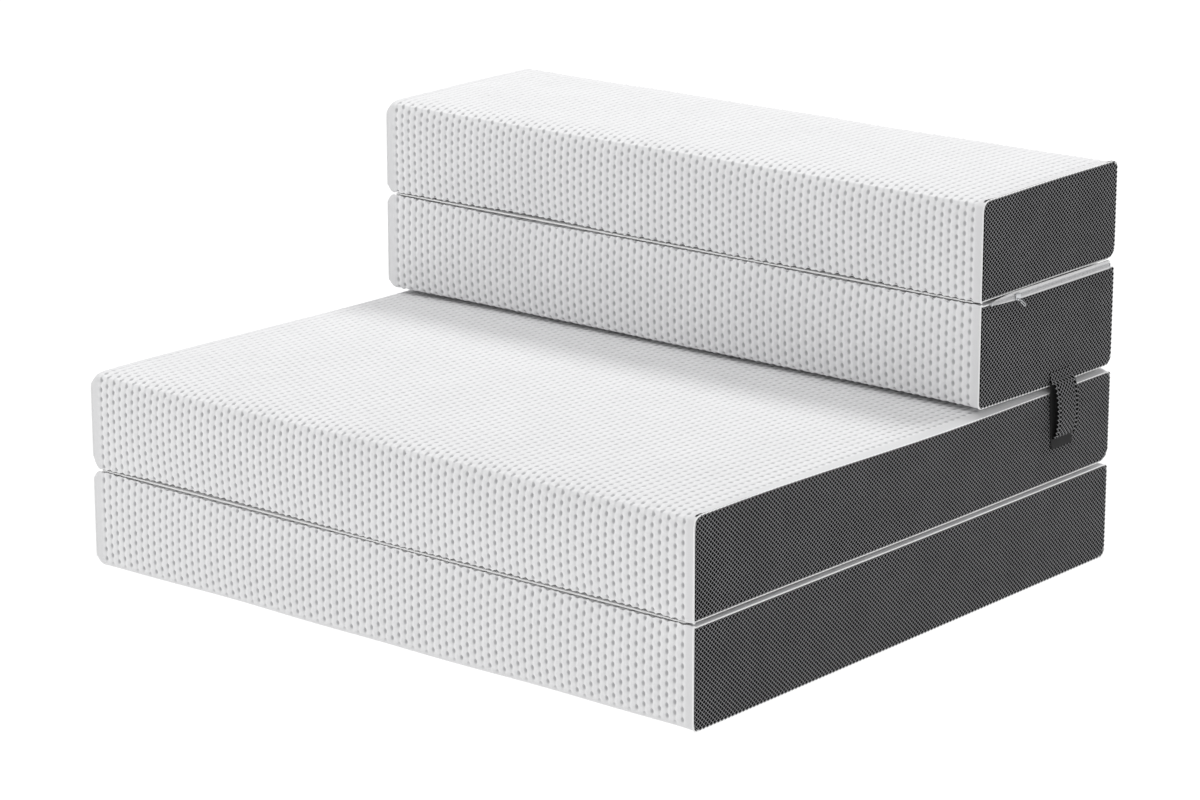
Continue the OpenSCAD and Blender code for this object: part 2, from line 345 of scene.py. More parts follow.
def openFoam(name, base, dark, cell):
    # slabstock polyurethane foam, cut with a band knife, so its face is a field of open cells
    material, tree, skin = newMaterial(name)
    add = lambda *a, **k: addNode(tree, *a, **k)
    spot = add("TexCoord")["Object"]
    cells = add("TexVoronoi", Vector=spot, Scale=1 / (cell * mm))["Distance"]
    tint = add("ValToRGB", {"stops": [(0.1, colour(dark)), (0.5, colour(base))]}, Fac=cells)["Color"]
    tree.links.new(tint, skin.inputs["Base Color"])
    bump = add("Bump", Strength=0.4, Distance=0.4 * mm, Height=cells)["Normal"]
    tree.links.new(bump, skin.inputs["Normal"])
    skin.inputs["Roughness"].default_value = 0.95
    return material


def castMetal(name):
    # zinc die-cast, tumbled and nickel plated, so it is bright with faint tumbling marks
    material, tree, skin = newMaterial(name)
    add = lambda *a, **k: addNode(tree, *a, **k)
    marks = add("TexNoise", in0=add("TexCoord")["Object"], Scale=1200.0, Detail=3.0)["Fac"]
    rough = add("MapRange", Value=marks, To_Min=0.22, To_Max=0.42)["Result"]
    tree.links.new(rough, skin.inputs["Roughness"])
    tint = add("MixRGB", {"blend_type": "MIX"}, Fac=marks, Color1=colour("#b9bbbe"),
               Color2=colour("#d6d7d9"))["Color"]
    tree.links.new(tint, skin.inputs["Base Color"])
    bump = add("Bump", Strength=0.15, Distance=0.05 * mm, Height=marks)["Normal"]
    tree.links.new(bump, skin.inputs["Normal"])
    skin.inputs["Metallic"].default_value = 1.0
    return material


knit = jacquardKnit()
mesh3d = spacerMesh()
piping = plainCloth("polyester knit piping", "#ffffff", "#ececec", 0.8)
foldCloth = plainCloth("polyester knit fold strip, lapped", "#f6f6f5", "#dededf", 1.2)
tapeCloth = plainCloth("polyester zip tape, twill woven", "#ececec", "#c9c9cb", 0.9)
nylon = plainCloth("nylon monofilament coil, heat set", "#dcdcdd", "#c2c2c4", 0.6,
                   rough=0.35, sheen=0.0, depth=0.04)
# the lining's charcoal is partly its own colour and partly painted shade for the inside of the handle's loop
liningCloth = plainCloth("polyester lining, plain woven", "#262627", "#171718", 0.7, sheen=0.0)
zinc = castMetal("zinc die casting, nickel plated")
coreFoam = openFoam("polyurethane support foam, slab cut", "#efece2", "#d8d3c4", 1.4)
topFoam = openFoam("polyurethane comfort foam, slab cut", "#e3e9ee", "#c6d0d8", 1.0)
print("materials made")


# Lengths in mm. Rows are counted round the girth, columns along the width. A step of the
# girth longer than wholeStep is a row, one longer than halfStep half a row, others a quarter.
# A pair is the distance at which a fade has died out, and the run it takes
coverCut = {
    "inset": 1.5, "columns": 87, "row": 10.35, "endBack": 0.8, "wholeStep": 8.2, "halfStep": 2.5,
    "pressure": 4.0, "frames": 20, "cap": 2.6, "levels": 2,
    "valley": 1.0, "ridge": 0.45, "pit": 1.5, "pitAcross": 1.8, "pitAlong": 2.2, "wave": 0.18,
    "uneven": 0.16, "plainEnd": 7.0, "plainFloor": 4.0, "plainRun": 6.0,
    "seamIn": 2.4, "seamDepth": 0.8, "seamHalf": 1.0, "pucker": 1.4, "puckerAt": 4.0, "puckerHalf": 2.0,
    "slow": ((9, 7, 11, 0.5), (31, 26, 41, 0.3)), "lipReach": 16.0, "leftReach": 9.0, "backRun": 1.6,
    "slack": 0.4, "close": 0.75, "closeFold": (5.5, 3), "closeEnd": (12, 4),
    "lip": 2.6, "lipFold": (6, 4), "endLip": 0.8, "lipEnd": (9, 4), "lipBand": (0.15, 0.12),
}
weltCut = {"radius": 0.8, "rounds": 1, "back": 0.4}
capCut = {"narrow": 0.996, "flatten": 0.975, "deep": 4.4}

# edges: radii of the long edges, bottom front, bottom rear, top rear, top front
# left: how far the left end rounds over, from below and from above
# sag of the lower and upper face, and lips at the ends, each (at the front, at the rear) in mm
panels = {
    "base": {"edges": (5, 8, 4, 1.4), "left": (9, 9), "seam": False, "flatTop": True, "sagFrom": 0,
             "sagLow": (0, 0), "sagHigh": (0, -1), "lipLow": (0, 0), "lipHigh": (0.8, 1.4)},
    "seat": {"edges": (1.4, 15, 4, 8), "left": (14, 9), "seam": True, "flatTop": False, "sagFrom": 60,
             "sagLow": (0, -1), "sagHigh": (-0.6, -4.2), "lipLow": (1.2, 0.4), "lipHigh": (0, 4.4)},
    "back_lower": {"edges": (4, 12, 4, 1.4), "left": (8, 9), "seam": False, "flatTop": True, "sagFrom": 0,
                   "sagLow": (-3.6, -4.2), "sagHigh": (0, -1.2), "lipLow": (0, -1.4), "lipHigh": (0.8, 2.6)},
    "back_upper": {"edges": (1.4, 13, 8, 8), "left": (9, 9), "seam": True, "flatTop": False, "sagFrom": 0,
                   "sagLow": (0, 0), "sagHigh": (-1.0, 0.8), "lipLow": (0.6, 2.2), "lipHigh": (0, 0)},
}


def rowsRound(points):
    # the girth's corners in order, by angle round the middle of its outline
    middle = (points.min(0) + points.max(0)) / 2
    half = (points.max(0) - points.min(0)) / 2
    around = (points - middle) / half
    # the count starts under the panel
    return np.argsort(np.arctan2(around[:, 0], around[:, 1]))


def makeCover(panel, cut):
    low, high = [np.array(v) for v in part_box(panel + "_cover")]
    low[0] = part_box(panel + "_welt_left")[0].x + coverCut["endBack"] * mm
    high[0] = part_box(panel + "_welt_right")[1].x - coverCut["endBack"] * mm
    low[1:] += coverCut["inset"] * mm
    high[1:] -= coverCut["inset"] * mm
    cover = addBlock(panel + "_quilted_cover", low, high)
    # open the two ends
    pick(cover, "FACE", lambda f: abs(f.normal.x) > 0.9)
    bpy.ops.mesh.delete(type="FACE")
    # round the four long edges
    corners = [(low[1], low[2]), (high[1], low[2]), (high[1], high[2]), (low[1], high[2])]
    for (y, z), radius in zip(corners, cut["edges"]):
        pick(cover, "EDGE", lambda e: all(abs(v.co.y - y) < 1e-5 and abs(v.co.z - z) < 1e-5 for v in e.verts))
        bpy.ops.mesh.bevel(offset=radius * mm, segments=4 if radius > 10 else 2, affect="EDGES")
    # columns, then rows on each flat
    pick(cover, "EDGE", lambda e: span(e, 0) > 0.1)
    bpy.ops.mesh.subdivide(number_cuts=coverCut["columns"] - 1)
    for axis in (1, 2):
        for side in (0, 1):
            other = 3 - axis
            wall = (low, high)[side][other]
            onWall = lambda e: all(abs(v.co[other] - wall) < 1e-5 for v in e.verts)
            pick(cover, "EDGE", lambda e: span(e, axis) > 0.03 and onWall(e))
            cage = bmesh.from_edit_mesh(cover.data)
            lengths = [e.calc_length() for e in cage.edges if e.select]
            bpy.ops.mesh.subdivide(number_cuts=round(lengths[0] / mm / coverCut["row"]) - 1)
    letGo()
    return cover, low, high


def mapKnit(cover, low, high):
    # the knit's map counts columns and rows, and rounds the girth to whole rows
    points = places(cover)
    stations = np.round((points[:, 0] - low[0]) / (high[0] - low[0]) * coverCut["columns"]).astype(int)
    ring = np.where(stations == 0)[0]
    order = ring[rowsRound(points[ring][:, 1:])]
    outline = points[order][:, 1:]
    steps = np.linalg.norm(np.roll(outline, -1, 0) - outline, axis=1)
    short = np.where(steps > coverCut["halfStep"] * mm, 0.5, 0.25)
    rows = np.concatenate([[0], np.cumsum(np.where(steps > coverCut["wholeStep"] * mm, 1.0, short))])
    rows *= round(rows[-1]) / rows[-1]
    count = len(order)
    spots = np.array([np.argmin(np.abs(outline - p).sum(1)) for p in points[:, 1:]])
    layer = cover.data.uv_layers.new(name="knit")
    loops = loopCorners(cover)
    u = stations[loops].astype(float)
    index = spots[loops]
    faces = index.reshape(-1, 4)
    wraps = (faces.max(1) - faces.min(1)) > count / 2
    index = np.where(np.repeat(wraps, 4) & (index < count / 2), index + count, index)
    layer.uv.foreach_set("vector", np.column_stack([u, rows[index]]).ravel())


def swell(cover, low, high):
    # cloth under pressure, held at the two ends, its travel capped
    start = places(cover)
    held = cover.vertex_groups.new(name="held")
    ends = np.where((start[:, 0] < low[0] + 1e-5) | (start[:, 0] > high[0] - 1e-5))[0]
    held.add([int(i) for i in ends], 1.0, "REPLACE")
    takeUp(cover)
    cloth = cover.modifiers.new("Cloth", "CLOTH")
    cloth.settings.quality = 5
    cloth.settings.mass = 0.3
    cloth.settings.use_pressure = True
    cloth.settings.uniform_pressure_force = coverCut["pressure"]
    cloth.settings.effector_weights.gravity = 0
    cloth.settings.vertex_group_mass = "held"
    cloth.collision_settings.use_collision = False
    cloth.point_cache.frame_start = 1
    cloth.point_cache.frame_end = coverCut["frames"]
    for step in range(1, coverCut["frames"] + 1):
        scene.frame_set(step)
    bpy.ops.object.modifier_apply(modifier=cloth.name)
    scene.frame_set(1)
    cover.vertex_groups.clear()
    moved = places(cover) - start
    far = np.linalg.norm(moved, axis=1, keepdims=True)
    cap = coverCut["cap"] * mm
    most, usual = [round(float(length) / mm, 2) for length in (far.max(), np.median(far))]
    print("  swell", cover.name, "most", most, "middle", usual)
    moveTo(cover, start + moved * cap * np.tanh(far / (2.5 * cap)) / np.maximum(far, 1e-9))


def quilt(cover, panel, cut, low, high):
    # fine surface, then pits, valleys, seam and puckers along its normals
    useModifier(cover, "SUBSURF", levels=coverCut["levels"], render_levels=coverCut["levels"])
    points, normals = places(cover), outwards(cover)
    loops = loopCorners(cover)
    spots = np.empty(len(loops) * 2)
    cover.data.uv_layers["knit"].uv.foreach_get("vector", spots)
    count = np.zeros((len(points), 2))
    count[loops] = spots.reshape(-1, 2)
    u, v = count[:, 0], count[:, 1]
    column = np.clip(np.floor(u), 0, coverCut["columns"] - 1)
    across = (u - column - 0.5) * knitCut["column"]
    # pits of every other column stand half a row further on
    odd = column % 2
    along = (np.mod(v + 0.5 * odd + 0.5, 1) - 0.5) * coverCut["row"]
    rng = np.random.default_rng(len(panel))
    tight = rng.normal(1, coverCut["uneven"], (coverCut["columns"], int(v.max()) + 2))
    strength = np.clip(tight[column.astype(int), np.floor(v + 0.5 * odd + 0.5).astype(int)], 0.6, 1.4)
    fromEnd = np.minimum(points[:, 0] - low[0], high[0] - points[:, 0]) / mm
    keep = smoothStep((fromEnd - coverCut["plainEnd"]) / coverCut["plainRun"])
    # on the base the pits also fade out near the floor, so the hem's painted shade lies along its foot
    if panel == "base":
        keep *= smoothStep((points[:, 2] / mm - coverCut["plainFloor"]) / coverCut["plainRun"])
    # a column is widest at its pits, so the ridges between columns wave
    ripple = np.cos(2 * np.pi * along / coverCut["row"])
    across *= 1 - coverCut["wave"] * ripple
    crest = np.cos(2 * np.pi * across / knitCut["column"])
    squares = (across / coverCut["pitAcross"]) ** 2 / 2, (along / coverCut["pitAlong"]) ** 2 / 2
    pit = coverCut["pit"] * strength * np.exp(-squares[0] - squares[1])
    valley = coverCut["valley"] * (0.5 + 0.5 * crest) ** 1.3
    # blisters swell between one pit and the next down a column
    blister = coverCut["ridge"] * crest * ripple
    depth = (pit + valley + blister) * keep
    if cut["seam"]:
        # the top front seam, with a pucker at every column
        inwards = [coverCut["seamIn"] * mm, -coverCut["seamIn"] * mm]
        near = np.linalg.norm((points - [0, low[1], high[2]])[:, 1:] - inwards, axis=1) / mm
        wave = 0.5 + 0.5 * np.cos(2 * np.pi * u)
        groove = coverCut["seamDepth"] * np.exp(-(near / coverCut["seamHalf"]) ** 2) * smoothStep(fromEnd / 7)
        depth = depth * smoothStep((near - 1) / 4) + groove
        pucker = np.exp(-((near - coverCut["puckerAt"]) / coverCut["puckerHalf"]) ** 2)
        depth += coverCut["pucker"] * wave * pucker * keep
    # slow waves, so that no face is dead flat
    slow = 0
    for turn, (alongX, alongY, alongZ, most) in enumerate(coverCut["slow"]):
        wave = np.sin(points[:, 0] * alongX + (turn + 1) * len(panel))
        slow = slow + wave * np.sin(points[:, 1] * alongY + points[:, 2] * alongZ + turn) * most
    slow *= smoothStep(fromEnd / 20)
    points = points - normals * ((depth - slow) * mm)[:, None]
    moveTo(cover, points)
    # how strongly the pits show, for the painted shade in the knit's colour
    layer = cover.data.uv_layers.new(name="keep")
    layer.uv.foreach_set("vector", np.column_stack([keep[loops], keep[loops]]).ravel())


def settlePanel(panel, points, end=0):
    # foam gives under weight, the cover rounds over to its ends, and more so at the left one
    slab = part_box(panel + "_cover")
    bottom, top, front, rear = slab[0].z, slab[1].z, slab[0].y, slab[1].y
    cut = panels[panel]
    up = np.clip((points[:, 2] - bottom) / (top - bottom), 0, 1)
    loaded = rear - front - cut["sagFrom"] * mm
    back = smoothStep((points[:, 1] - front - cut["sagFrom"] * mm) / loaded * coverCut["backRun"])
    line = lambda pair: (pair[0] + (pair[1] - pair[0]) * back) * mm
    fromLeft = (points[:, 0] - slab[0].x) / mm * (end >= 0)
    fromRight = (slab[1].x - points[:, 0]) / mm * (end <= 0)
    rounding = (1 - np.clip(np.minimum(fromLeft, fromRight) / coverCut["lipReach"], 0, 1)) ** 2
    shift = line(cut["sagLow"]) * (1 - up) + line(cut["sagHigh"]) * up
    shift += rounding * (line(cut["lipLow"]) * (1 - up) - line(cut["lipHigh"]) * up)
    turn = 1 - np.clip(fromLeft / coverCut["leftReach"], 0, 1)
    leftLow, leftHigh = cut["left"]
    # most of a quarter round, short of upright
    quarter = 1 - np.sqrt(1 - 0.98 * turn ** 2)
    shift += mm * quarter * (leftLow * (1 - up) ** 2 - leftHigh * up ** 2)
    points[:, 2] += shift
    return points


def within(distance, pair):
    # 1 near, 0 past the first of the pair, over the run that is the second
    return smoothStep((pair[0] - distance) / pair[1])


def faceMates(cover, panel):
    # a face lying on another panel or the floor stays flat, and swells to its neighbour
    # along the fold and the ends
    points = places(cover)
    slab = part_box(panel + "_cover")
    bottom, top = slab[0].z, slab[1].z
    fromFront = (points[:, 1] - slab[0].y) / mm
    fromEnd = np.minimum(points[:, 0] - slab[0].x, slab[1].x - points[:, 0]) / mm
    near = np.maximum(within(fromFront, coverCut["closeFold"]), within(fromEnd, coverCut["closeEnd"]))
    slack = (coverCut["slack"] + coverCut["close"] * near) * mm
    soft = lambda x: np.where(x > 0, x, slack * np.tanh(x / slack))
    # lips at the folds reach for one another
    up = (points[:, 2] - bottom) / (top - bottom)
    lip = coverCut["lip"] * mm * within(fromFront, coverCut["lipFold"])
    lip = np.maximum(lip, coverCut["endLip"] * mm * within(fromEnd, coverCut["lipEnd"]))
    if panels[panel]["flatTop"]:
        points[:, 2] += lip * within(1 - up, coverCut["lipBand"])
    if panel not in ("base", "back_lower"):
        points[:, 2] -= lip * within(up, coverCut["lipBand"])
    if panel != "base":
        points[:, 2] = bottom + soft(points[:, 2] - bottom)
    else:
        points[:, 2] = np.maximum(points[:, 2], 0.0)
    if panels[panel]["flatTop"]:
        points[:, 2] = top - soft(top - points[:, 2])
    moveTo(cover, settlePanel(panel, points))


def makeWelt(cover, panel, side):
    # a corded seam on the cover's open edge, taken off it as a loop and made round
    pick(cover, "EDGE", lambda e: e.is_boundary and e.verts[0].co.x * side > 0)
    bpy.ops.mesh.duplicate()
    bpy.ops.mesh.separate(type="SELECTED")
    letGo()
    loop = [o for o in scene.objects if o.name.startswith(cover.name + ".")][0]
    word = "right" if side > 0 else "left"
    takeUp(loop)
    bpy.ops.object.convert(target="CURVE")
    loop = bpy.context.object
    loop.data.bevel_depth = weltCut["radius"] * mm
    loop.data.bevel_resolution = weltCut["rounds"]
    bpy.ops.object.convert(target="MESH")
    welt = named(bpy.context.object, f"{panel}_{word}_edge_welt")
    for extra in list(welt.data.uv_layers):
        welt.data.uv_layers.remove(extra)
    points = places(welt)
    points[:, 0] -= side * weltCut["back"] * mm
    moveTo(welt, points)
    finishPiece(welt, piping, panel, [f"{panel}_welt_{word}"])


def capEnds(cover):
    # each end turns in behind the mesh and is closed
    for side in (-1, 1):
        edge = max(v.co.x * side for v in cover.data.vertices)
        pick(cover, "EDGE", lambda e: e.is_boundary and e.verts[0].co.x * side > 0)
        middle = np.mean([tuple(v.co) for v in cover.data.vertices if v.co.x * side > edge - 1e-5], axis=0)
        bpy.ops.mesh.extrude_edges_move(TRANSFORM_OT_translate={"value": (0, 0, 0)})
        bpy.ops.transform.resize(value=(1, capCut["narrow"], capCut["flatten"]),
                                 center_override=tuple(middle))
        bpy.ops.mesh.extrude_edges_move(TRANSFORM_OT_translate={"value": (-capCut["deep"] * mm * side, 0, 0)})
        bpy.ops.mesh.edge_face_add()
    letGo()


for panel, cut in panels.items():
    cover, low, high = makeCover(panel, cut)
    mapKnit(cover, low, high)
    swell(cover, low, high)
    quilt(cover, panel, cut, low, high)
    faceMates(cover, panel)
    for side in (-1, 1):
        makeWelt(cover, panel, side)
    capEnds(cover)
    finishPiece(cover, knit, panel, [panel + "_cover"], angle=60)
    print(panel, "cover", len(cover.data.polygons), "faces")


# Lengths in mm. The mesh laps over the welt on three sides and stops short of it at the front
endCut = {
    "along": 5.5, "up": 5.0, "relief": 0.35, "bulge": 0.9, "wander": 0.25, "rim": 0.25,
    "thick": 3.9, "front": -0.5, "lap": 1.7, "facets": 4,
}


def weaveGrid(name, width, height, along, up, place, turn, fine=2):
    # a flat grid with a corner for every thread crossing and every hole, and a map that counts cells
    columns, rows = fine * round(width / along), fine * round(height / up)
    grid = addGrid(name, columns, rows, (width, height), place, turn)
    layer = grid.data.uv_layers[0]
    layer.name = "weave"
    spots = np.empty(len(grid.data.loops) * 2)
    layer.uv.foreach_get("vector", spots)
    spots = spots.reshape(-1, 2) * [columns / fine, rows / fine]
    layer.uv.foreach_set("vector", spots.ravel())
    cells = np.zeros((len(grid.data.vertices), 2))
    cells[loopCorners(grid)] = spots
    # 1 in the middle of a hole, -1 where threads cross
    hole = np.cos(2 * np.pi * cells[:, 0]) * np.cos(2 * np.pi * cells[:, 1])
    return grid, hole


def makeMeshEnd(panel, side):
    word = "right" if side > 0 else "left"
    low, high = [np.array(v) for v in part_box(f"{panel}_mesh_end_{word}")]
    face = (high if side > 0 else low)[0]
    low, high = low - endCut["lap"] * mm, high + endCut["lap"] * mm
    low[1] += (endCut["lap"] - endCut["front"]) * mm
    middle = (low + high) / 2
    grid, hole = weaveGrid(f"{panel}_{word}_mesh_end", high[1] - low[1], high[2] - low[2],
                           endCut["along"] * mm, endCut["up"] * mm,
                           (face, middle[1], middle[2]), (math.pi / 2, 0, side * math.pi / 2))
    points = places(grid)
    acrossEnd, upEnd = ((points - middle) / (high - middle))[:, 1:].T
    rise = endCut["bulge"] * (1 - upEnd ** 4) * (1 - acrossEnd ** 8)
    wander = endCut["wander"] * np.sin(points[:, 1] * 23 + len(panel)) * np.sin(points[:, 2] * 31)
    points[:, 0] += side * (rise + endCut["rim"] - endCut["relief"] * hole + wander * (rise > 0.3)) * mm
    moveTo(grid, points)
    # corners cut round, a facet at a time
    for flip, radius in zip(((-1, -1), (1, -1), (1, 1), (-1, 1)), panels[panel]["edges"]):
        y, z = (low if flip[0] < 0 else high)[1], (low if flip[1] < 0 else high)[2]
        centre = np.array([y - flip[0] * radius * mm, z - flip[1] * radius * mm])
        for facet in range(endCut["facets"]):
            angle = math.radians((facet + 0.5) * 90 / endCut["facets"])
            away = np.array([math.cos(angle) * flip[0], math.sin(angle) * flip[1]])
            spot = centre + away * radius * mm * 1.01
            pick(grid, "FACE", lambda f: True)
            bpy.ops.mesh.bisect(plane_co=(face, spot[0], spot[1]), plane_no=(0, away[0], away[1]),
                                clear_outer=True)
    # the rim goes back to the slab's depth and the back is closed
    letGo()
    moveTo(grid, settlePanel(panel, places(grid), side))
    pick(grid, "EDGE", lambda e: e.is_boundary)
    bpy.ops.mesh.extrude_edges_move(TRANSFORM_OT_translate={"value": (-side * endCut["thick"] * mm, 0, 0)})
    bpy.ops.mesh.edge_face_add()
    letGo()
    finishPiece(grid, mesh3d, panel, [f"{panel}_mesh_end_{word}"], angle=60)


for panel in panels:
    for side in (-1, 1):
        makeMeshEnd(panel, side)
print("mesh ends made")


foamCut = {"round": 6.0, "steps": 3, "slices": 24, "inset": 4.0}
foamLayers = (("foam_core", coreFoam, "support_foam"), ("comfort_foam", topFoam, "comfort_foam"))
for panel in panels:
    for layer, material, slotName in foamLayers:
        low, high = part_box(f"{panel}_{layer}")
        block = addBlock(f"{panel}_{layer}_block", low, high)
        pick(block, "EDGE", lambda e: span(e, 0) > 0.1)
        bpy.ops.mesh.bevel(offset=foamCut["round"] * mm, segments=foamCut["steps"], affect="EDGES")
        pick(block, "EDGE", lambda e: span(e, 1) > 0.1)
        bpy.ops.mesh.subdivide(number_cuts=foamCut["slices"])
        letGo()
        # clear of the cover's stitched pits
        slab = np.array([tuple(v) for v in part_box(panel + "_cover")])
        middle, size = slab.mean(0), slab[1] - slab[0]
        shrink = 1 - 2 * foamCut["inset"] * mm / size
        shrink[0] = 1
        moveTo(block, settlePanel(panel, middle + (places(block) - middle) * shrink))
        finishPiece(block, material, panel, [f"{panel}_{layer}"], angle=60)
print("foam made")


# Lengths in mm; drop is how far the strip lies below the middle of the gap
foldCut = {
    "width": 776, "leaf": 28.0, "nose": 0.5, "thick": 0.4, "behind": 3.4, "pucker": 0.35,
    "columns": 194, "across": 40, "gather": 1.8,
}
folds = {
    "front_fold": {"bodies": ("base", "seat"), "side": -1, "drop": 0.0},
    "rear_fold": {"bodies": ("seat", "back_lower"), "side": 1, "drop": -4.2},
    "top_fold": {"bodies": ("back_lower", "back_upper"), "side": -1, "drop": 0.0},
}
for name, cut in folds.items():
    lowerBody, upperBody = cut["bodies"]
    side = cut["side"]
    under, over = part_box(lowerBody + "_cover"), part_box(upperBody + "_cover")
    middleX = (under[0].x + under[1].x) / 2
    middleZ = (under[1].z + over[0].z) / 2 + cut["drop"] * mm
    edge = over[0].y if side < 0 else over[1].y
    radius = foldCut["nose"] * mm
    length = 2 * foldCut["leaf"] * mm + math.pi * radius
    strip = addGrid(name + "_strip", foldCut["columns"], foldCut["across"], (foldCut["width"] * mm, length))
    flat = places(strip)
    t = flat[:, 1]
    # more of the rows go round the nose
    t = np.sign(t) * (length / 2) * (np.abs(t) / (length / 2)) ** foldCut["gather"]
    bend = np.clip(t / radius, -math.pi / 2, math.pi / 2)
    straight = np.abs(t) - np.abs(bend) * radius
    x = flat[:, 0] + middleX
    pucker = foldCut["pucker"] * mm * (np.sin(x * 310) + 0.6 * np.sin(x * 137 + 1)) * np.cos(bend)
    out = edge - side * foldCut["behind"] * mm
    y = out - side * (radius * (1 - np.cos(bend)) + straight) + side * pucker
    z = middleZ + radius * np.sin(bend)
    moveTo(strip, np.column_stack([x, y, z]))
    useModifier(strip, "SOLIDIFY", thickness=foldCut["thick"] * mm, offset=0)
    pick(strip, "FACE", lambda f: True)
    bpy.ops.mesh.normals_make_consistent(inside=False)
    letGo()
    finishPiece(strip, foldCloth, None, [name + "_lower_leaf", name + "_upper_leaf"])
    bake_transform(strip)
print("folds made")


# Lengths in mm; pin is the line the pull swings about, and a wire is its ring's two radii
zipCut = {
    "tape": 3.7, "thick": 0.6, "slit": 0.4, "rise": 3.4, "weaves": 108, "rib": 3.6, "ribHigh": 0.12,
    "selvedge": (1.1, 0.5, 0.9), "lens": 44, "tooth": 1.5, "rowOff": 0.75, "toothWire": (0.75, 0.26),
    "stop": 1.6, "stopHalf": 1.8, "plate": 1.0, "plateHalf": 3.1, "waist": 0.32,
    "flangeOff": 2.6, "flangeHalf": 0.3, "pin": (400.55, 166.5, 317.5),
    "bridgeWire": (2.0, 0.5), "eyeWire": (1.3, 0.42), "tabHalf": (0.45, 1.5), "tabFrom": 2.2, "tabTo": 12.8,
    "tabRim": 0.75, "tabRound": 1.2, "tabSlant": 52,
}


def addRing(wire, place, turn, sides, around):
    # a ring of round wire, its radii given in mm
    letGo()
    bpy.ops.mesh.primitive_torus_add(major_radius=wire[0] * mm, minor_radius=wire[1] * mm, location=place,
                                     rotation=turn, major_segments=around, minor_segments=sides)
    return bpy.context.object


def joined(pieces, name):
    # made one with the first
    takeUp(pieces[0])
    for piece in pieces:
        piece.select_set(True)
    bpy.ops.object.join()
    return named(bpy.context.object, name)


def bevelAll(piece, width, segments):
    pick(piece, "EDGE", lambda e: True)
    bpy.ops.mesh.bevel(offset=width * mm, segments=segments, affect="EDGES")
    letGo()


def makeZipTape(centre):
    # two tapes, each with a turned selvedge
    low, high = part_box("zip_tape")
    outer = high.x
    over, aside, back = [length * mm for length in zipCut["selvedge"]]
    halves = []
    for side in (-1, 1):
        inner = centre + side * zipCut["slit"] * mm
        edge = inner + side * zipCut["tape"] * mm
        lowCorner = (outer - zipCut["thick"] * mm, low.y, min(inner, edge))
        half = addBlock("tapeHalf", lowCorner, (outer, high.y, max(inner, edge)))
        pick(half, "EDGE", lambda e: span(e, 1) > 0.05)
        bpy.ops.mesh.subdivide(number_cuts=zipCut["weaves"])
        pick(half, "FACE", lambda f: f.normal.z * side > 0.9)
        bpy.ops.mesh.extrude_region_move(TRANSFORM_OT_translate={"value": (-over, 0, side * aside)})
        bpy.ops.mesh.extrude_region_move(TRANSFORM_OT_translate={"value": (-back, 0, 0)})
        letGo()
        halves.append(half)
    tape = joined(halves, "zip_tape_pair")
    points = places(tape)
    # ribs across the tape stand for its twill
    rib = np.cos((points[:, 1] - low.y) * 2 * math.pi / (zipCut["rib"] * mm))
    points[:, 0] += np.where(points[:, 0] > outer - 0.3 * mm, zipCut["ribHigh"] * mm * rib, 0)
    # towards the front the tapes close to a point
    gape = np.clip((points[:, 1] - low.y) / (zipCut["lens"] * mm), 0.01, 1) ** 0.55
    points[:, 2] = centre + (points[:, 2] - centre) * gape - 1.0 * mm * (1 - gape)
    moveTo(tape, points)
    useModifier(tape, "BEVEL", width=0.15 * mm, segments=2,
                limit_method="ANGLE", angle_limit=math.radians(50))
    finishPiece(tape, tapeCloth, "back_lower", ["zip_tape"])


def makeZipCoil(centre):
    # one tooth, then copies in two rows along the coil, half a tooth apart
    low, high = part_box("zip_coil")
    place = (low.x + 0.35 * mm, low.y + 0.8 * mm, centre)
    ring = addRing(zipCut["toothWire"], place, (math.pi / 2, 0, 0), 6, 10)
    ring.scale = (0.7, 1.25, 1)
    bakePlace(ring)
    rings = []
    count = int((high.y - low.y) / mm / zipCut["tooth"]) - 1
    for number in range(count):
        for side in (-1, 1):
            copy = ring.copy()
            copy.data = ring.data.copy()
            scene.collection.objects.link(copy)
            step = number + (0.5 if side > 0 else 0)
            copy.location = (0, step * zipCut["tooth"] * mm, side * zipCut["rowOff"] * mm)
            rings.append(copy)
    letGo()
    bpy.data.objects.remove(ring)
    for copy in rings:
        copy.select_set(True)
    bpy.context.view_layer.objects.active = rings[0]
    bpy.ops.object.transform_apply(location=True, rotation=True, scale=True)
    finishPiece(joined(rings, "zip_coil_teeth"), nylon, "back_lower", ["zip_coil"])


def makeZipStops(centre):
    # end stops, crimped over both rows
    low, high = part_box("zip_stops")
    length, half = zipCut["stop"] * mm, zipCut["stopHalf"] * mm
    stops = []
    for y in (low.y, high.y - length):
        stop = addBlock("stop", (low.x, y, centre - half), (high.x, y + length, centre + half))
        bevelAll(stop, 0.35, 3)
        stops.append(stop)
    finishPiece(joined(stops, "zip_end_stops"), zinc, "back_lower", ["zip_stops"])


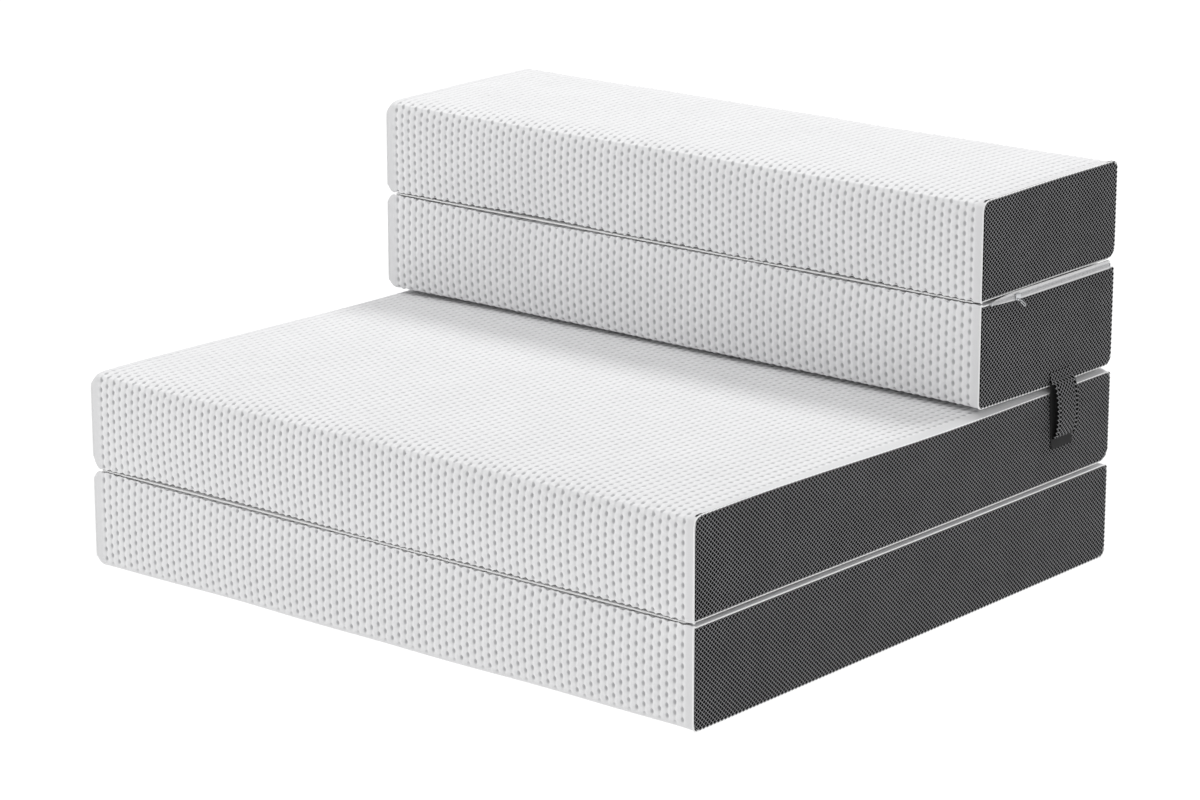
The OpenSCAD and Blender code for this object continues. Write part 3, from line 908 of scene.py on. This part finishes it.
def makeZipSlider(centre, pin):
    # a waisted front plate with two flanges and a bridge for the pull
    low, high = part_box("zip_slider")
    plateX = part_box("zip_coil")[1].x + 0.3 * mm
    half = zipCut["plateHalf"] * mm
    plate = addBlock("plate", (plateX, low.y, centre - half),
                     (plateX + zipCut["plate"] * mm, high.y, centre + half))
    pick(plate, "EDGE", lambda e: span(e, 1) > 0.005)
    bpy.ops.mesh.subdivide(number_cuts=3)
    letGo()
    points = places(plate)
    back = (points[:, 1] - low.y) / (high.y - low.y)
    points[:, 2] = centre + (points[:, 2] - centre) * (1 - zipCut["waist"] * smoothStep(back * 1.3))
    moveTo(plate, points)
    bevelAll(plate, 0.22, 2)
    parts = [plate]
    for side in (-1, 1):
        z = centre + side * zipCut["flangeOff"] * mm
        half = zipCut["flangeHalf"] * mm
        flange = addBlock("flange", (plateX - 1.1 * mm, low.y + 1 * mm, z - half),
                          (plateX + 0.1 * mm, high.y - 2 * mm, z + half))
        bevelAll(flange, 0.12, 2)
        parts.append(flange)
    # bridge: a bent wire from the plate round the pin's line
    bridge = addRing(zipCut["bridgeWire"], (pin.x - 1.45 * mm, pin.y, pin.z), (0, 0, 0), 10, 28)
    bridge.scale = (0.72, 1.15, 1)
    bakePlace(bridge)
    parts.append(bridge)
    finishPiece(joined(parts, "zip_slider_body"), zinc, "slider", ["zip_slider"])


def makeZipPull(pin):
    # an eye round the bridge and a tab with a slot, lying askew
    eye = addRing(zipCut["eyeWire"], (pin.x, pin.y, pin.z - 0.7 * mm), (math.pi / 2, 0, 0), 8, 24)
    bakePlace(eye)
    thick, wide = [length * mm for length in zipCut["tabHalf"]]
    bottom, top = pin.z - zipCut["tabTo"] * mm, pin.z - zipCut["tabFrom"] * mm
    tab = addBlock("tab", (pin.x - thick, pin.y - wide, bottom), (pin.x + thick, pin.y + wide, top))
    pick(tab, "FACE", lambda f: abs(f.normal.x) > 0.9)
    bpy.ops.mesh.inset(thickness=zipCut["tabRim"] * mm, use_individual=True)
    bpy.ops.mesh.bridge_edge_loops()
    atTip = lambda e: min(abs(v.co.z - bottom) for v in e.verts) < 1e-5
    pick(tab, "EDGE", lambda e: span(e, 0) > 0.4 * mm and atTip(e))
    bpy.ops.mesh.bevel(offset=zipCut["tabRound"] * mm, segments=5, affect="EDGES")
    letGo()
    pull = joined([eye, tab], "zip_pull_tab")
    points = places(pull)
    turn = math.radians(zipCut["tabSlant"]) * smoothStep((pin.z - points[:, 2]) / (2.6 * mm))
    y, z = points[:, 1] - pin.y, points[:, 2] - pin.z
    points[:, 1] = pin.y + y * np.cos(turn) - z * np.sin(turn)
    points[:, 2] = pin.z + y * np.sin(turn) + z * np.cos(turn)
    moveTo(pull, points)
    useModifier(pull, "BEVEL", width=0.1 * mm, segments=2,
                limit_method="ANGLE", angle_limit=math.radians(50))
    finishPiece(pull, zinc, "pull", ["zip_pull"])


zipLow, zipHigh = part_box("zip_tape")
zipCentre = (zipLow.z + zipHigh.z) / 2 + zipCut["rise"] * mm
zipPin = Vector([length * mm for length in zipCut["pin"]])
makeZipTape(zipCentre)
makeZipCoil(zipCentre)
makeZipStops(zipCentre)
makeZipSlider(zipCentre, zipPin)
makeZipPull(zipPin)
print("zip made")


# Lengths in mm; pin is where the handle swings, along x and z
handleCut = {
    "along": 5.2, "up": 4.8, "width": 38.0, "bow": 8.6, "loop": 63.0, "thick": 1.5, "hem": 4.2,
    "lean": 4.0, "lining": 74.0, "liningDrop": 2.7, "backing": 0.8, "pin": (395.95, 218),
}


def handlePieces():
    low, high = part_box("handle_loop")
    anchorLow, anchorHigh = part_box("handle_anchor")
    middle = (low.y + high.y) / 2
    pinX, pinZ = [length * mm for length in handleCut["pin"]]
    upright = (math.pi / 2, 0, math.pi / 2)
    along, upwards = handleCut["along"] * mm, handleCut["up"] * mm
    width, length = handleCut["width"] * mm, handleCut["loop"] * mm
    tall = anchorHigh.z - anchorLow.z
    # anchor strip, leaning in towards its upper edge
    place = (anchorHigh.x - 0.7 * mm, middle, (anchorLow.z + anchorHigh.z) / 2)
    anchor, hole = weaveGrid("handle_anchor_strip", width, tall, along, upwards, place, upright)
    points = places(anchor)
    points[:, 0] -= 0.2 * mm * hole
    points[:, 0] -= 1.6 * mm * np.clip((points[:, 2] - anchorLow.z) / tall, 0, 1) ** 1.5
    moveTo(anchor, points)
    useModifier(anchor, "SOLIDIFY", thickness=handleCut["backing"] * mm, offset=-1)
    finishPiece(anchor, mesh3d, "back_lower", ["handle_anchor"], angle=60)
    # loop: hangs from the anchor, bows out and comes back to the lining
    place = (pinX, middle, pinZ - length / 2)
    loop, hole = weaveGrid("handle_mesh_loop", width, length, along, upwards, place, upright, fine=6)
    points = places(loop)
    down = np.clip((pinZ - points[:, 2]) / length, 0, 1)
    across = (points[:, 1] - middle) / (width / 2)
    bow = handleCut["bow"] * np.sin(math.pi * down) ** 0.4
    # a hem down each long edge, with the stitch line sunk in
    edge = (1 - np.abs(across)) * width / 2 / mm
    hem = 0.6 * np.exp(-((edge - 1.8) / 1.3) ** 2) - 1.3 * np.exp(-((edge - handleCut["hem"]) / 0.9) ** 2)
    # at the pin the loop is flat, so that it clears the anchor as it swings up
    free = smoothStep((pinZ - points[:, 2]) / (4 * mm))
    points[:, 0] += free * (1.2 + bow + hem - 0.25 * hole * (edge > 2.5) - 0.5 * across ** 2 * bow / 7) * mm
    points[:, 1] += handleCut["lean"] * mm * down ** 1.3
    moveTo(loop, points)
    useModifier(loop, "SOLIDIFY", thickness=handleCut["thick"] * mm, offset=-1)
    finishPiece(loop, mesh3d, "handle", ["handle_loop"], angle=60)
    # lining: a plain strip behind the loop, a little longer
    drop = handleCut["liningDrop"] * mm
    hang = handleCut["lining"] * mm - drop
    place = (pinX - 0.35 * mm, middle, pinZ - drop - hang / 2)
    lining = addGrid("handle_lining_strip", 24, 48, (width, hang), place, upright)
    points = places(lining)
    down = np.clip((pinZ - points[:, 2]) / (handleCut["lining"] * mm), 0, 1)
    points[:, 0] += (0.25 * np.sin(points[:, 1] * 160) * down + 1.2 * smoothStep((down - 0.8) / 0.2)) * mm
    points[:, 1] += handleCut["lean"] * mm * down ** 1.3
    moveTo(lining, points)
    useModifier(lining, "SOLIDIFY", thickness=handleCut["backing"] * mm, offset=0)
    finishPiece(lining, liningCloth, "handle", ["handle_lining"])


handlePieces()
print("handle made")


# A cast acrylic sheet, matted and lit from below, so that the floor is white and shadows stay soft
floorCut = {"size": 14, "shade": "#898989", "rough": 0.9, "lit": "#ffffff", "glow": 0.84}
letGo()
bpy.ops.mesh.primitive_plane_add(size=floorCut["size"], location=(0, 0, 0))
floor = named(bpy.context.object, "studio_floor")
bakePlace(floor)
acrylic, _, floorSkin = newMaterial("opal acrylic light table, cast and matted sheet")
floorSkin.inputs["Base Color"].default_value = colour(floorCut["shade"])
floorSkin.inputs["Roughness"].default_value = floorCut["rough"]
floorSkin.inputs["Emission Color"].default_value = colour(floorCut["lit"])
floorSkin.inputs["Emission Strength"].default_value = floorCut["glow"]
floor.data.materials.append(acrylic)

lamps = {
    "backKey": {"at": (0.75, 1.75, 4.2), "size": 1.1, "power": 72},
    "leftKey": {"at": (-2.5, -1.7, 3.5), "size": 1.4, "power": 55},
}
for name, lamp in lamps.items():
    data = bpy.data.lights.new(name, "AREA")
    data.size = lamp["size"]
    data.energy = lamp["power"]
    light = bpy.data.objects.new(name, data)
    scene.collection.objects.link(light)
    light.location = lamp["at"]
    light.rotation_euler = (Vector((0, 0, 0.2)) - light.location).to_track_quat("-Z", "Y").to_euler()

room = {"shade": "#ffffff", "strength": 0.58}
studio = bpy.data.worlds.new("studio")
scene.world = studio
studio.use_nodes = True
backdrop = studio.node_tree.nodes["Background"]
backdrop.inputs["Color"].default_value = colour(room["shade"])
backdrop.inputs["Strength"].default_value = room["strength"]
scene.view_settings.view_transform = "Standard"

view = {"at": (2.58405, -3.1389, 1.3144), "turn": 39.557, "down": 15.62, "lens": 121.4}
cameraData = bpy.data.cameras.new("camera")
camera = bpy.data.objects.new("camera", cameraData)
scene.collection.objects.link(camera)
camera.location = view["at"]
camera.rotation_euler = (math.radians(90 - view["down"]), 0, math.radians(view["turn"]))
cameraData.sensor_width = 36
cameraData.lens = view["lens"]
cameraData.clip_start, cameraData.clip_end = 0.1, 60
scene.camera = camera

print("finished")
